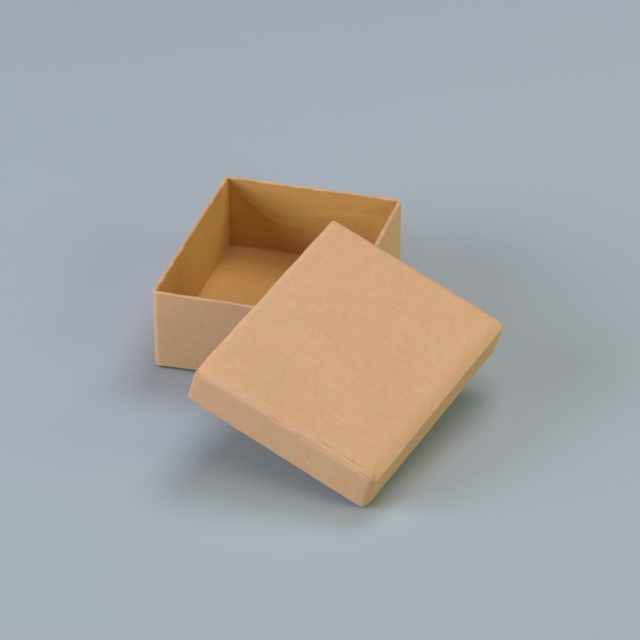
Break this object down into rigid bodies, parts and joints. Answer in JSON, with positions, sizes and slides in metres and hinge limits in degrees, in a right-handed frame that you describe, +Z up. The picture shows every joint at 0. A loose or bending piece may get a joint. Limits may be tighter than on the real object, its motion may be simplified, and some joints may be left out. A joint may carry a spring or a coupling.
{
  "type": "cardboard gift box with lift-off lid",
  "caption": "Small rigid kraft cardboard gift box: an open rectangular tray with its shallow lift-off lid taken off and leaning on the tray's rim.",
  "frame": {"origin": "middle of the tray's underside, on the surface that the box stands on", "axes": "+Z up out of the tray, +X to the right along the tray's front wall, +Y to the tray's back; the lid leans on the front right of the tray"},
  "size_m": [0.1255, 0.1589, 0.052],
  "materials": {
    "tray_kraft": "matte",
    "lid_kraft": "matte"
  },
  "bodies": {
    "root": {"tray": "tray_kraft", "lid": "lid_kraft"}
  },
  "joints": []
}
